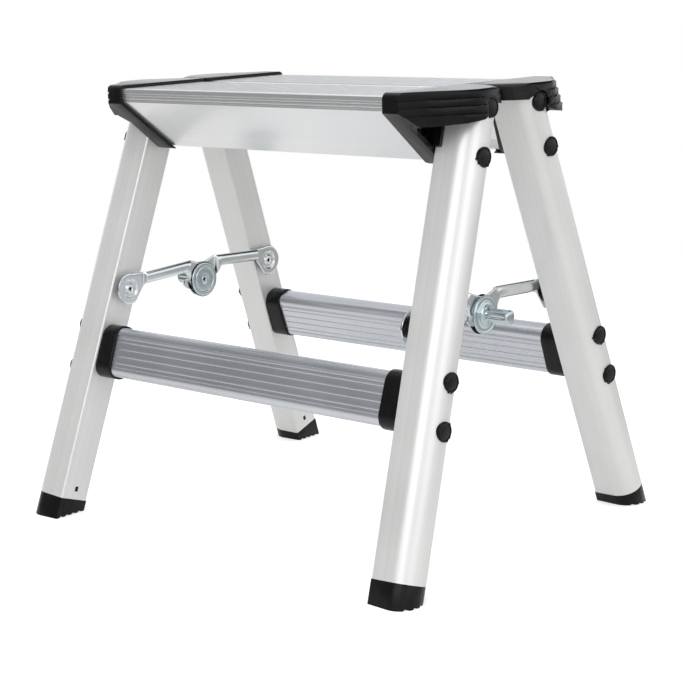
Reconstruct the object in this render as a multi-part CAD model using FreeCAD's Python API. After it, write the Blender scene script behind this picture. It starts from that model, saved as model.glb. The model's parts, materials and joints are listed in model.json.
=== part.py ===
import FreeCAD, Part
import math
import os
from FreeCAD import Placement, Rotation, Vector

# Folding step stool: two half platforms, each on its own splayed ladder frame,
# hinged together along the middle of the deck and held open by a folding spreader
# on each side.  X runs along the platform, -Y is the front, Z is up, and the origin
# is on the floor under the middle of the deck.  Lengths are in mm, angles in degrees.

# Stance
deck_height = 397.0
leg_tilt = 19.5
leg_splay = 3.07
leg_top_reach = 30.115
leg_top_overhang = 7.012
hinge_drop = 8.0

# Leg section: flat inner face, rounded outer side
leg_depth = 39.4
leg_half_width = 17.0
leg_inner_half_width = 15.7
leg_wall = 2.0
leg_top_gap = 2.0
leg_end_gap = 0.3

# Foot
foot_height = 15.0
foot_plug_length = 28.0
foot_fit = 0.15
foot_groove_radius = 2.3
foot_groove_pitch = 7.4
foot_groove_count = 4
foot_groove_sink = 0.9
latch_height = 10.0
latch_width = 3.6
latch_length = 4.6
latch_fit = 0.2

# Tread extrusion
tread_half_length = 160.0
nose_reach = 107.7
joint_half_gap = 0.5
deck_thickness = 3.0
ridge_height = 0.5
ridge_width = 2.4
ridge_pitch = 5.0
ridge_start = 8.0
nose_radius = 3.0
nose_band = 12.4
nose_recess = 0.7
nose_bead = 1.0
nose_bead_depths = (6.1, 8.8)
nose_groove = 0.7
nose_groove_depth = 11.4
skirt_bottom_reach = 50.0
skirt_drop = 56.4
skirt_wall = 2.2
skirt_toe_reach = 3.2
skirt_toe_drop = 0.9
inner_wall = 2.0
lip_thickness = 2.5
lip_over_hinge = 0.5
hollow_corner = 1.4

# End cap
cap_rise = 3.0
cap_lap = 5.4
cap_taper = 3.0
cap_overhang = 52.8
cap_wall = 2.5
cap_top_wall = 5.5
cap_joint_gap = 1.0
cap_joint_depth = 13.6
cap_nose_depth = 28.8
flange_overhang = 9.5
hood_start_overhang = 8.2
strip_overhang = 10.8
web_overhang = 2.6
hood_bend_overhang = 28.3
hood_bend_reach = 90.9
hood_shoulder_overhang = 46.6
hood_shoulder_reach = 70.6
hood_side_front = 52.0
hood_side_back = 38.0
hood_corner_overhang = 26.0
hood_corner_reach = 27.0
hood_corner_round = 2.5
hood_top_bevel = 1.6
hood_side_cut = 2.6
hood_edge = ((-14.0, 15.2), (-7.0, 18.4), (0.0, 18.4), (9.6, 9.4), (12.2, 6.4), (15.6, 4.7), (22.0, 3.7),
             (36.0, 2.1), (52.0, 0.6))
wrap_nose_drop = 1.2
wrap_toe_reach = 5.6
wrap_toe_drop = 1.4
wrap_port_cover = 2.2
wrap_port_drop = 3.0
wrap_back_gap = 8.0
wrap_back_drop = 21.0
corner_dip_overhang = 12.53
corner_dip_radius = 25.0
band_depths = (7.0, 13.1, 19.6)
band_step = 1.6
band_lean = 3.0
band_width = 1.2
band_sink = 0.9
web_low_reach = 84.0
web_tip_overhang = 17.0
web_tip_reach = 94.5
cheek_width = 7.5
cheek_wall = 2.6
cheek_drop = 49.0
cheek_overlap = 4.0
pocket_rib_radius = 7.0
pocket_rib_wall = 1.2
pocket_rib_reach = 72.0
pocket_rib_drop = 29.0

# Hinge between the halves
lug_radius = 4.9
lug_reach = 9.0
lug_gap = 0.4
rear_lug_width = 5.0
front_lug_width = 6.0
lug_start_overhang = 9.2
hinge_pin_radius = 2.4
running_gap = 0.06

# Bolts and their cover plugs
bolt_radius = 2.5
bolt_hole_radius = 2.7
bolt_head_radius = 4.2
bolt_head_height = 4.0
bolt_socket_radius = 2.0
bolt_seat_gap = 0.3
bolt_grip = 14.0
port_radius = 5.0
tread_bolt_drop = 13.0
tread_bolt_spacing = 41.4
plug_radius = 8.5
plug_rise = 1.8
plug_chamfer = 0.9
plug_stem_radius = 7.2
plug_hole_radius = 7.4
plug_stem_length = 8.0
plug_notch_gap = 0.8

# Rung and its collars
rung_height = 159.6
rung_width = 46.9
rung_depth = 22.5
rung_corner = 8.0
rung_wall = 1.8
rung_bolt_spacing = 36.0
rung_plug_rise = 1.2
rung_plug_spacing = 40.0
rung_bead_count = 4
rung_bead_pitch = 6.7
rung_bead_start = -10.8
rung_edge_bead = 13.0
rung_bead_width = 1.0
rung_bead_rise = 0.4
collar_wall_width = 2.0
collar_wall_depth = 2.2
collar_fit = 0.1
collar_length = 19.0
collar_base = 3.0

# Spreader
eye_above_rung = 61.1
pivot_sag = 5.0
arm_plate = 1.7
arm_layer_gap = 0.15
spacer_length = 4.84
eye_radius = 15.0
pivot_plate_radius = 15.0
rib_half_height = 5.6
rib_depth = 6.0
rib_eye_distance = 19.0
rib_eye_offset = 9.0
rib_pivot_distance = 19.8
rib_pivot_offset = 14.8
rib_round = 3.2
neck_half_height = 12.5
neck_overlap = 4.0
lug_overlap = 6.0
lug_under = 12.9
lug_under_step = 7.5
lug_over = 13.6
lug_over_step = 6.0
spacer_radius = 9.0
spacer_gap = 0.3
rivet_radius = 3.5
rivet_head_radius = 6.0
rivet_head_height = 2.4
rivet_head_round = 1.4
rivet_hollow_radius = 2.0
rivet_tail_radius = 5.0
rivet_tail_height = 1.6
pivot_radius = 4.0
pivot_washer_radius = 17.0
pivot_washer_height = 1.5
pivot_hub_radius = 6.5
pivot_hub_length = 25.9
pivot_flute_radius = 1.4
pivot_flute_count = 6
pivot_flute_length = 18.6
disc_radius = 16.8
disc_height = 1.4
disc_groove_radius = 12.0
disc_groove_width = 1.2
disc_groove_sink = 0.5
fold_limit = 35.0

# Worked out from the values above
hinge_height = deck_height - hinge_drop
cap_top = deck_height + cap_rise
tilt_slope = math.tan(math.radians(leg_tilt))
tilt_share = math.cos(math.radians(leg_tilt))
splay_slope = math.tan(math.radians(leg_splay))
foot_reach = leg_top_reach + tilt_slope * deck_height
leg_top_x = tread_half_length + leg_top_overhang
inner_foot_x = leg_top_x + splay_slope * deck_height / tilt_share
eye_height = (rung_height + eye_above_rung) * tilt_share
eye_reach = foot_reach - tilt_slope * eye_height
pivot_height = eye_height - pivot_sag
arm_outer_x = inner_foot_x - splay_slope * eye_height / tilt_share - spacer_length
rib_inner_x = arm_outer_x - rib_depth
cap_inner_x = tread_half_length - cap_lap
cap_outer_x = tread_half_length + cap_overhang
flange_outer_x = tread_half_length + flange_overhang
hood_start_x = tread_half_length + hood_start_overhang
strip_outer_x = tread_half_length + strip_overhang
web_outer_x = tread_half_length + web_overhang
hood_bend_x = tread_half_length + hood_bend_overhang
hood_shoulder_x = tread_half_length + hood_shoulder_overhang
hood_corner_x = tread_half_length + hood_corner_overhang
web_tip_x = tread_half_length + web_tip_overhang
lug_start_x = tread_half_length + lug_start_overhang
skirt_top_z = deck_height - nose_band
skirt_bottom_z = deck_height - skirt_drop
leg_top_z = cap_top - cap_top_wall - leg_top_gap
deck_under_z = deck_height - ridge_height - deck_thickness
wall_half_run = inner_wall / 2 / tilt_share
wrap_back_z = deck_height - wrap_back_drop
cheek_bottom_z = deck_height - cheek_drop
pocket_rib_z = deck_height - pocket_rib_drop
edge_reach = nose_reach + cap_rise
cap_nose_radius = nose_radius + cap_rise
hood_bottom_z = cap_top - cap_nose_depth
joint_bottom_z = cap_top - cap_joint_depth
hood_roof_z = cap_top - cap_top_wall
far = 1000.0
touch = 0.01

axis_x = Vector(1, 0, 0)
axis_y = Vector(0, 1, 0)
axis_z = Vector(0, 0, 1)
centre = Vector(0, 0, 0)

frame_place = Placement(Vector(0, -foot_reach, 0), Rotation(axis_x, -leg_tilt))
leg_place = frame_place.multiply(Placement(Vector(inner_foot_x, 0, 0), Rotation(axis_y, -leg_splay)))


def leg_line(z):
    """Distance of a leg's centre line from the middle plane at a height."""
    return foot_reach - tilt_slope * z


def leg_face_x(z, reach=None):
    """X of a leg's inner face at a height, on its centre line or at a reach."""
    off = 0.0 if reach is None else leg_line(z) - reach
    along = z / tilt_share - off * math.sin(math.radians(leg_tilt))
    return inner_foot_x - splay_slope * along


def placed(shape, place):
    """A copy of a shape moved from its own frame into the object's frame."""
    copy = shape.copy()
    copy.Placement = place.multiply(copy.Placement)
    return copy


def polygon_face(points):
    """A flat face bounded by straight lines, or by an arc where a middle point is marked."""
    edges = []
    count = len(points)
    k = 0
    while k < count:
        here = points[k]
        ahead = points[(k + 1) % count]
        if isinstance(ahead, tuple):
            after = points[(k + 2) % count]
            edges.append(Part.Arc(here, ahead[0], after).toShape())
            k += 2
        else:
            edges.append(Part.makeLine(here, ahead))
            k += 1
    return Part.Face(Part.Wire(edges))


def side_prism(points, x_start, x_end):
    """A prism along X from a side view given as (reach, height) on the front half."""
    flat = []
    for point in points:
        if len(point) == 3:
            flat.append((Vector(x_start, -point[0], point[1]),))
        else:
            flat.append(Vector(x_start, -point[0], point[1]))
    return polygon_face(flat).extrude(Vector(x_end - x_start, 0, 0))


def plan_wire(points):
    """A closed outline seen from above, given as (x, reach) on the front half."""
    flat = []
    for point in points:
        if len(point) == 3:
            flat.append((Vector(point[0], -point[1], 0),))
        else:
            flat.append(Vector(point[0], -point[1], 0))
    return polygon_face(flat).OuterWire


def plan_prism(wire, z_start, z_end):
    """A prism that stands on a plan outline."""
    face = Part.Face(wire)
    face.translate(Vector(0, 0, z_start))
    return face.extrude(Vector(0, 0, z_end - z_start))


def rod(radius, start, direction, length):
    """A round bar."""
    return Part.makeCylinder(radius, length, start, direction)


def block(x_range, y_range, z_range):
    """A box between three pairs of limits."""
    size = [pair[1] - pair[0] for pair in (x_range, y_range, z_range)]
    return Part.makeBox(size[0], size[1], size[2], Vector(x_range[0], y_range[0], z_range[0]))


def mirrored(shape, side, end):
    """The front right shape carried to another corner: side is +1 right, end is -1 front."""
    result = shape
    if side < 0:
        result = result.mirror(centre, axis_x)
    if end > 0:
        result = result.mirror(centre, axis_y)
    return result


def leg_section(inset):
    """The D outline of a leg in its own frame, moved inwards by an inset."""
    arc_centre = leg_depth - leg_half_width
    radius = leg_half_width - inset
    half = leg_inner_half_width - inset
    start = inset
    run = arc_centre - start
    lean = math.atan2(run, half) - math.acos(radius / math.hypot(run, half))
    tangent_x = arc_centre - radius * math.sin(lean)
    tangent_y = radius * math.cos(lean)
    return polygon_face([
        Vector(start, -half, 0),
        Vector(tangent_x, -tangent_y, 0),
        (Vector(arc_centre + radius, 0, 0),),
        Vector(tangent_x, tangent_y, 0),
        Vector(start, half, 0),
    ])


def leg_prism(inset, low, high):
    """A leg-shaped solid between two distances along the leg."""
    face = leg_section(inset)
    face.translate(Vector(0, 0, low))
    return placed(face.extrude(Vector(0, 0, high - low)), leg_place)


def leg_envelope(end_gap):
    """The filled outside of a leg, level at the top and carried on by an end gap."""
    return leg_prism(0, 0, far / 2).common(block((-far, far), (-far, far), (0, leg_top_z + end_gap)))


def bolt_spots():
    """Reach and height of the four bolts through a leg, from the top down."""
    top_z = deck_height - tread_bolt_drop
    heights = [top_z, top_z - tread_bolt_spacing * tilt_share]
    for shift in (rung_bolt_spacing / 2, -rung_bolt_spacing / 2):
        heights.append((rung_height + shift) * tilt_share)
    return [(leg_line(z), z) for z in heights]


def plug_spots():
    """Reach and height of the four cover plugs of a leg; the rung's pair stands a little wider."""
    spots = bolt_spots()[:2]
    for shift in (rung_plug_spacing / 2, -rung_plug_spacing / 2):
        z = (rung_height + rung_plug_rise + shift) * tilt_share
        spots.append((leg_line(z), z))
    return spots


def make_leg():
    """Hollow leg, mitred level under the cap, with its bolt, plug, rivet and latch holes."""
    length = deck_height / tilt_share + leg_depth
    tube = leg_prism(0, foot_height, length).cut(leg_prism(leg_wall, foot_height - 1, length + 1))
    tube = tube.cut(block((-far, far), (-far, far), (leg_top_z, far)))
    for reach, z in bolt_spots():
        face_x = leg_face_x(z)
        tube = tube.cut(rod(bolt_hole_radius, Vector(face_x - leg_wall, -reach, z), axis_x, leg_depth / 2))
    for reach, z in plug_spots():
        hole_start = Vector(leg_face_x(z) + leg_depth / 2, -reach, z)
        tube = tube.cut(rod(plug_hole_radius, hole_start, axis_x, leg_depth))
    rivet_start = Vector(leg_face_x(eye_height) - leg_wall, -eye_reach, eye_height)
    tube = tube.cut(rod(rivet_radius + running_gap, rivet_start, axis_x, leg_depth / 2))
    return tube.cut(latch_block(latch_fit, leg_wall + 1))


def latch_block(extra, depth):
    """The foot's catch, or the hole for it, through the inner wall of the leg."""
    low = foot_height + latch_height - latch_length / 2 - extra
    box = block(
        (0 if extra == 0 else -1, depth),
        (-latch_width / 2 - extra, latch_width / 2 + extra),
        (low, low + latch_length + 2 * extra),
    )
    return placed(box, leg_place)


def make_foot():
    """Plastic foot: a tread block flush with the leg and a plug that goes up inside it."""
    pad = leg_prism(0, -leg_depth, foot_height)
    plug = leg_prism(leg_wall + foot_fit, foot_height - 1, foot_height + foot_plug_length)
    foot = pad.fuse(plug).fuse(latch_block(0, leg_wall + foot_fit + 1))
    foot = foot.cut(block((-far, far), (-far, far), (-far, 0)))
    middle = (foot_groove_count - 1) / 2
    for k in range(foot_groove_count):
        y = -foot_reach + (k - middle) * foot_groove_pitch
        start = Vector(0, y, -foot_groove_sink)
        foot = foot.cut(rod(foot_groove_radius, start, axis_x, far))
    return foot.removeSplitter()


def rounded_bar(width_y, width_z, corner, x_start, x_end):
    """A rounded rectangular bar along X in the frame's plane, centred on the rung line."""
    box = block(
        (x_start, x_end),
        (-width_y / 2, width_y / 2),
        (rung_height - width_z / 2, rung_height + width_z / 2),
    )
    edges = [edge for edge in box.Edges if abs(edge.Length - x_end + x_start) < touch]
    return box.makeFillet(corner, edges)


def rung_end_x():
    """Where the rung stops short of the leg's inner face."""
    return inner_foot_x - splay_slope * (rung_height + rung_width / 2) - collar_base


def make_rung():
    """Hollow rung with fine raised lines along both faces and two screw ports."""
    half = rung_end_x()
    bar = rounded_bar(rung_depth, rung_width, rung_corner, -half, half)
    hollow = rounded_bar(rung_depth - 2 * rung_wall, rung_width - 2 * rung_wall, rung_corner - rung_wall,
                         -half - 1, half + 1)
    bar = bar.cut(hollow)
    rises = [rung_bead_start + k * rung_bead_pitch for k in range(rung_bead_count)] + [rung_edge_bead]
    for z in [rung_height + rise for rise in rises]:
        for side in (-1, 1):
            face_y = side * rung_depth / 2
            bead = block((-half, half), (face_y - rung_bead_rise, face_y + rung_bead_rise),
                         (z - rung_bead_width / 2, z + rung_bead_width / 2))
            bar = bar.fuse(bead)
    for side in (-1, 1):
        z = rung_height + side * rung_bolt_spacing / 2
        port = rod(port_radius, Vector(-half, 0, z), axis_x, 2 * half)
        bar = bar.fuse(port.common(rounded_bar(rung_depth, rung_width, rung_corner, -half, half)))
        bar = bar.cut(rod(bolt_hole_radius, Vector(-half - 1, 0, z), axis_x, 2 * half + 2))
    return placed(bar.removeSplitter(), frame_place)


def make_collar():
    """Moulded collar that carries the end of a rung against the leg."""
    base_x = rung_end_x()
    inner_x = inner_foot_x - splay_slope * rung_height - collar_length
    outer = rounded_bar(rung_depth + 2 * collar_wall_depth, rung_width + 2 * collar_wall_width,
                        rung_corner + collar_wall_width, inner_x, base_x + leg_depth)
    inner_depth = rung_depth + 2 * rung_bead_rise + 2 * collar_fit
    collar = outer.cut(rounded_bar(inner_depth, rung_width, rung_corner, inner_x - 1, base_x))
    for side in (-1, 1):
        z = rung_height + side * rung_bolt_spacing / 2
        collar = collar.cut(rod(bolt_hole_radius, Vector(inner_x, 0, z), axis_x, far))
    collar = placed(collar, frame_place)
    return collar.cut(placed(block((0, far), (-far, far), (-far, far)), leg_place))


def nose_corner(extra, radius):
    """Start, middle and end of the rounded top corner of the nose, grown by an offset."""
    reach = nose_reach + extra
    top = deck_height + extra
    bend = radius * (1 - math.sqrt(0.5))
    return [(reach - radius, top), (reach - bend, top - bend, "arc"), (reach, top - radius)]


def skirt_point(reach, offset):
    """Point of the skirt line at a reach, moved out square to the skirt by an offset."""
    run = nose_reach - nose_recess - skirt_bottom_reach
    fall = skirt_top_z - skirt_bottom_z
    length = math.hypot(run, fall)
    z = skirt_bottom_z + fall * (reach - skirt_bottom_reach) / run
    return (reach + offset * fall / length, z - offset * run / length)


def tread_outline():
    """Outer side view of a tread from the joint along the deck, round the nose and back."""
    ridge_floor = deck_height - ridge_height
    points = [(joint_half_gap, ridge_floor)]
    reach = ridge_start
    while reach + ridge_width < nose_reach - nose_radius - ridge_width:
        bevel = ridge_height / 2
        points += [(reach, ridge_floor), (reach + bevel, deck_height),
                   (reach + ridge_width - bevel, deck_height), (reach + ridge_width, ridge_floor)]
        reach += ridge_pitch
    corner = nose_corner(0, nose_radius)
    points += [(corner[0][0] - ridge_width, ridge_floor), (corner[0][0] - ridge_height, deck_height)]
    points += corner
    back = nose_reach - nose_recess
    face_low = deck_height - nose_radius - nose_bead
    points += [(nose_reach, face_low), (back, face_low - nose_recess / 2)]
    for depth, width, level in [(depth, nose_bead, nose_reach) for depth in nose_bead_depths] + [
            (nose_groove_depth, nose_groove, back - nose_recess)]:
        high = deck_height - depth + width / 2
        points += [(back, high), (level, high), (level, high - width), (back, high - width)]
    points += [(back, skirt_top_z), skirt_point(skirt_bottom_reach, 0)]
    port_reach, port_z = bolt_spots()[1]
    diagonal = port_radius * math.sqrt(0.5)
    points += [(skirt_bottom_reach - skirt_toe_reach, skirt_bottom_z - skirt_toe_drop),
               (port_reach - diagonal, port_z - diagonal), (port_reach - port_radius, port_z)]
    for z in (port_z + 2 * diagonal, deck_under_z):
        points.append((leg_line(z) - wall_half_run, z))
    lip_reach = joint_half_gap + lip_thickness
    lip_z = hinge_height + lip_over_hinge
    return points + [(lip_reach, deck_under_z), (lip_reach, lip_z), (joint_half_gap, lip_z)]


def make_tread():
    """Hollow tread extrusion with a sloping skirt and two screw ports."""
    filled = side_prism(tread_outline(), -tread_half_length, tread_half_length)
    port_reach, port_z = bolt_spots()[1]
    low_z = port_z + port_radius
    nose_inside = nose_reach - nose_recess - skirt_wall
    nose_foot = skirt_point(nose_inside + hollow_corner, -skirt_wall)
    hollow = side_prism(
        [(leg_line(deck_under_z) + wall_half_run, deck_under_z), (nose_inside, deck_under_z),
         (nose_inside, nose_foot[1] + hollow_corner), nose_foot,
         skirt_point(port_reach + hollow_corner * port_radius, -skirt_wall),
         (leg_line(low_z) + wall_half_run, low_z)],
        -tread_half_length - 1, tread_half_length + 1)
    tread = filled.cut(hollow)
    length = 2 * tread_half_length
    for reach, z in bolt_spots()[:2]:
        start = Vector(-tread_half_length, -reach, z)
        tread = tread.fuse(rod(port_radius, start, axis_x, length).common(filled))
        tread = tread.cut(rod(bolt_hole_radius, start, axis_x, length))
    return tread.removeSplitter()


def hood_outline(inset):
    """Plan of the hood from the joint round the outer side to the nose, drawn in by an inset."""
    side_x = cap_outer_x - inset
    bend_x = (hood_corner_x + side_x) / 2 + hood_corner_round
    bend_reach = (cap_joint_gap + hood_corner_reach) / 2 - hood_corner_round
    return [
        (hood_start_x, cap_joint_gap),
        (hood_corner_x, cap_joint_gap),
        (bend_x, bend_reach, "arc"),
        (side_x - hood_side_cut, hood_corner_reach),
        (side_x, hood_side_back),
        (side_x, hood_side_front),
        (hood_shoulder_x - inset, hood_shoulder_reach - inset / 2),
        (hood_bend_x - inset / 2, hood_bend_reach - inset),
        (strip_outer_x, edge_reach),
        (hood_start_x, edge_reach),
    ]


def hood_trim():
    """Cutter below the hood: its lower edge climbs to the joint, its nose follows the skirt."""
    plug_reach = bolt_spots()[0][0]
    edge = [(plug_reach + step, hood_bottom_z + rise) for step, rise in hood_edge]
    under = side_prism([(-far, edge[0][1])] + edge + [(far, hood_bottom_z), (far, 0), (-far, 0)], 0, far)
    tip = skirt_point(skirt_bottom_reach, cap_rise)
    nose = (edge_reach, skirt_top_z - wrap_nose_drop)
    return under.fuse(side_prism([nose, tip, (tip[0], 0), (far, 0), (far, nose[1])], 0, far))


def hood_bands():
    """Upper level, lower level and inset of the hood's bands, which step out towards the bottom."""
    levels = (0.0,) + band_depths + (cap_nose_depth,)
    last = len(band_depths)
    return [(cap_top - levels[k], cap_top - levels[k + 1], (last - k) * band_step) for k in range(last + 1)]


def hood_body():
    """Stepped bands of the hood with grooves between them, hollow inside."""
    body = None
    hollow = None
    for high, low, inset in hood_bands():
        wire = plan_wire(hood_outline(inset))
        band = plan_prism(wire, low, high)
        if high == cap_top:
            rim = [edge for edge in band.Edges if edge.BoundBox.ZMin > cap_top - touch
                   and edge.BoundBox.XMax > hood_bend_x - band_lean]
            band = band.makeChamfer(hood_top_bevel, rim)
        wall = cap_wall + (band_lean if inset == 0 else 0)
        room = plan_prism(wire.makeOffset2D(-wall), low, min(high, hood_roof_z))
        body = band if body is None else body.fuse(band)
        hollow = room if hollow is None else hollow.fuse(room)
    groove_end = bolt_spots()[0][0] + plug_radius + 2 * band_width
    for high, low, inset in hood_bands()[:-1]:
        wire = plan_wire(hood_outline(inset))
        ring = plan_prism(wire.makeOffset2D(band_width), low - band_width / 2, low + band_width / 2)
        ring = ring.cut(plan_prism(wire.makeOffset2D(-band_sink), low - band_width, low + band_width))
        window = block((flange_outer_x, far), (-far, -groove_end), (0, far))
        body = body.cut(ring.common(window))
    beside_leg = placed(block((0, far), (-far, far), (-far, far)), leg_place)
    return body.cut(hollow.common(beside_leg))


def lean_cutter():
    """What the lowest band loses along the nose side as it leans in towards its lower edge."""
    outline = hood_outline(0)
    corners = [point for point in outline if point[1] >= hood_shoulder_reach][:3]
    top_z = cap_top - band_depths[-1] - band_width / 2
    fall = top_z - hood_bottom_z
    cutter = None
    for first, second in zip(corners[:-1], corners[1:]):
        start = Vector(first[0], -first[1], top_z)
        along = (Vector(second[0], -second[1], top_z) - start).normalize()
        inward = Vector(along.y, -along.x, 0)
        if inward.y < 0:
            inward = -inward
        low = inward * band_lean * 2 - axis_z * fall * 2
        start = start - along * band_sink
        length = math.dist(first[:2], second[:2]) + 2 * band_sink
        outside = -inward * leg_depth
        wedge = polygon_face([start, start + low, start + low + outside, start + outside])
        wedge = wedge.extrude(along * length)
        cutter = wedge if cutter is None else cutter.fuse(wedge)
    return cutter


def nose_web():
    """Sloping web that joins the flange to the hood's lowest band beside the nose."""
    plate = side_prism([skirt_point(edge_reach + cap_rise, cap_rise), skirt_point(web_low_reach, cap_rise),
                        skirt_point(web_low_reach, -cap_wall), skirt_point(edge_reach + cap_rise, -cap_wall)],
                       hood_start_x, hood_bend_x)
    nook = plan_wire([(hood_start_x, web_low_reach), (flange_outer_x, web_low_reach),
                      (web_tip_x, web_tip_reach), (hood_bend_x, web_tip_reach),
                      (hood_bend_x, edge_reach), (hood_start_x, edge_reach)])
    shape = plan_prism(nook, 0, cap_top - band_depths[-1]).common(plate)
    return shape.common(plan_prism(plan_wire(hood_outline(0)), 0, cap_top))


def corner_cutter():
    """What stands above the rounded dip at the joint-side corner of the hood."""
    along = Vector(-1, 1, 0).normalize()
    foot = Vector(tread_half_length + corner_dip_overhang, 0, cap_top - corner_dip_radius)
    round_bar = rod(corner_dip_radius, foot - along * far / 2, along, far)
    keep = block((0, corner_dip_radius * 2), (-far / 2, far / 2), (0, corner_dip_radius * 2))
    keep.Placement = Placement(foot, Rotation(axis_z, 45))
    return keep.cut(round_bar)


def hinge_lugs(end):
    """X ranges of the hinge lugs on the rear (+1) or front (-1) caps."""
    first = (lug_start_x, lug_start_x + rear_lug_width)
    middle = (first[1] + lug_gap, first[1] + lug_gap + front_lug_width)
    last = (middle[1] + lug_gap, middle[1] + lug_gap + rear_lug_width)
    return [first, last] if end > 0 else [middle]


def cap_wrap():
    """Web plate over the tread's end with the rim and the flange that wrap its outline."""
    tip = skirt_point(skirt_bottom_reach, cap_rise)
    port_reach, port_z = bolt_spots()[1]
    outline = [(cap_joint_gap, cap_top)] + nose_corner(cap_rise, cap_nose_radius)
    outline += [(edge_reach, skirt_top_z - wrap_nose_drop), tip,
                (tip[0] - wrap_toe_reach, tip[1] - wrap_toe_drop),
                (port_reach - port_radius - wrap_port_cover, port_z - wrap_port_drop),
                (leg_line(wrap_back_z) - wrap_back_gap, wrap_back_z),
                (leg_line(joint_bottom_z) - wrap_back_gap, joint_bottom_z), (cap_joint_gap, joint_bottom_z)]
    wrap = side_prism(outline, cap_inner_x - cap_taper, flange_outer_x)
    back_reach = skirt_bottom_reach - 2 * cap_rise
    inside = [(-far, deck_height)] + nose_corner(0, nose_radius)
    inside += [(nose_reach, skirt_top_z), skirt_point(back_reach, 0), (back_reach, 0), (-far, 0)]
    wrap = wrap.cut(side_prism(inside, 0, tread_half_length))
    inner_edge = [(0, cap_top + 1), (cap_inner_x, cap_top + 1), (cap_inner_x, skirt_top_z),
                  (cap_inner_x - cap_taper, skirt_bottom_z - cap_rise), (cap_inner_x - cap_taper, 0), (0, 0)]
    taper = polygon_face([Vector(x, -far, z) for x, z in inner_edge])
    return wrap.cut(taper.extrude(axis_y * 2 * far))


def pocket():
    """Hollow between the web, the flange, the hood's roof and the cheek, with a ring rib left in it."""
    side = (leg_half_width + cheek_wall) / tilt_share
    nose_in = edge_reach - cap_wall
    top = skirt_point(nose_in, -cap_wall / 2)
    run = (nose_reach - nose_recess - skirt_bottom_reach) / (skirt_top_z - skirt_bottom_z)
    low_z = (leg_line(0) + side - top[0] + run * top[1]) / (run + tilt_slope)
    room = side_prism([(leg_line(hood_roof_z) + side, hood_roof_z), (nose_in, hood_roof_z), top,
                       (leg_line(low_z) + side, low_z)], web_outer_x, strip_outer_x + 1)
    start = Vector(web_outer_x, -pocket_rib_reach, pocket_rib_z)
    ring = rod(pocket_rib_radius, start, axis_x, flange_outer_x - cap_wall - web_outer_x)
    return room.cut(ring.cut(rod(pocket_rib_radius - pocket_rib_wall, start, axis_x, far)))


def cap_shell():
    """Front right cap without its hinge lugs."""
    hood = hood_body().cut(hood_trim())
    nose_side = [(0, 0), (0, cap_top)] + nose_corner(cap_rise, cap_nose_radius) + [(edge_reach, 0)]
    shell = cap_wrap().fuse(hood.common(side_prism(nose_side, 0, far))).cut(pocket())
    shell = shell.fuse(nose_web()).cut(lean_cutter()).cut(corner_cutter())
    cheek = block((-cheek_overlap, cheek_width),
                  (-leg_half_width - cheek_wall, cheek_overlap - leg_half_width),
                  (cheek_bottom_z / tilt_share, far))
    cheek = placed(cheek, leg_place).common(block((0, far), (-far, far), (0, hood_roof_z + leg_end_gap)))
    shell = shell.fuse(cheek).cut(leg_envelope(leg_end_gap))
    for reach, z in bolt_spots()[:2]:
        shell = shell.cut(rod(bolt_hole_radius, Vector(cap_inner_x, -reach, z), axis_x, leg_depth))
    reach, z = bolt_spots()[0]
    notch_start = Vector(leg_face_x(z) + leg_depth / 2, -reach, z)
    return shell.cut(rod(plug_radius + plug_notch_gap, notch_start, axis_x, far))


def make_cap(shell, side, end):
    """End cap at one corner with its hinge lugs and the room for its neighbour's."""
    axis_start = Vector(0, 0, hinge_height)
    cap = shell
    for low, high in hinge_lugs(end):
        lug = rod(lug_radius, axis_start + axis_x * low, axis_x, high - low)
        arm = block((low, high), (-lug_reach, 0), (hinge_height - lug_radius, hood_roof_z + leg_end_gap))
        cap = cap.fuse(lug.fuse(arm))
    for low, high in hinge_lugs(-end):
        width = high - low + 2 * lug_gap
        room = rod(lug_radius + lug_gap, axis_start + axis_x * (low - lug_gap), axis_x, width)
        reach_in = block((low - lug_gap, high + lug_gap), (-cap_joint_gap - cap_wall - 1, 0),
                         (hinge_height - 2 * lug_radius, hinge_height))
        cap = cap.cut(room.fuse(reach_in))
    pin_room = rod(hinge_pin_radius + running_gap, axis_start + axis_x * (lug_start_x - 2), axis_x, far)
    cap = cap.cut(pin_room.common(block((0, hinge_pin_end() + 1), (-far, far), (0, far))))
    return mirrored(cap.removeSplitter(), side, end)


def hinge_pin_end():
    """Outer end of the hinge pin, level with the last lug."""
    return hinge_lugs(1)[1][1]


def make_hinge_pin(side):
    """Plain pin through the lugs of a front and a rear cap."""
    length = hinge_pin_end() - lug_start_x
    pin = rod(hinge_pin_radius, Vector(lug_start_x, 0, hinge_height), axis_x, length)
    return mirrored(pin, side, -1)


def make_bolts():
    """The four bolts of a leg, heads inside the hollow leg."""
    bolts = []
    for index, (reach, z) in enumerate(bolt_spots()):
        seat_x = leg_face_x(z) + leg_wall + bolt_seat_gap
        end_x = (tread_half_length if index < 2 else rung_end_x()) - bolt_grip
        head = rod(bolt_head_radius, Vector(seat_x, -reach, z), axis_x, bolt_head_height)
        socket = rod(bolt_socket_radius, Vector(seat_x + bolt_head_height / 2, -reach, z), axis_x, far)
        shank = rod(bolt_radius, Vector(end_x, -reach, z), axis_x, seat_x - end_x)
        bolts.append(head.cut(socket).fuse(shank).removeSplitter())
    return bolts


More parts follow.
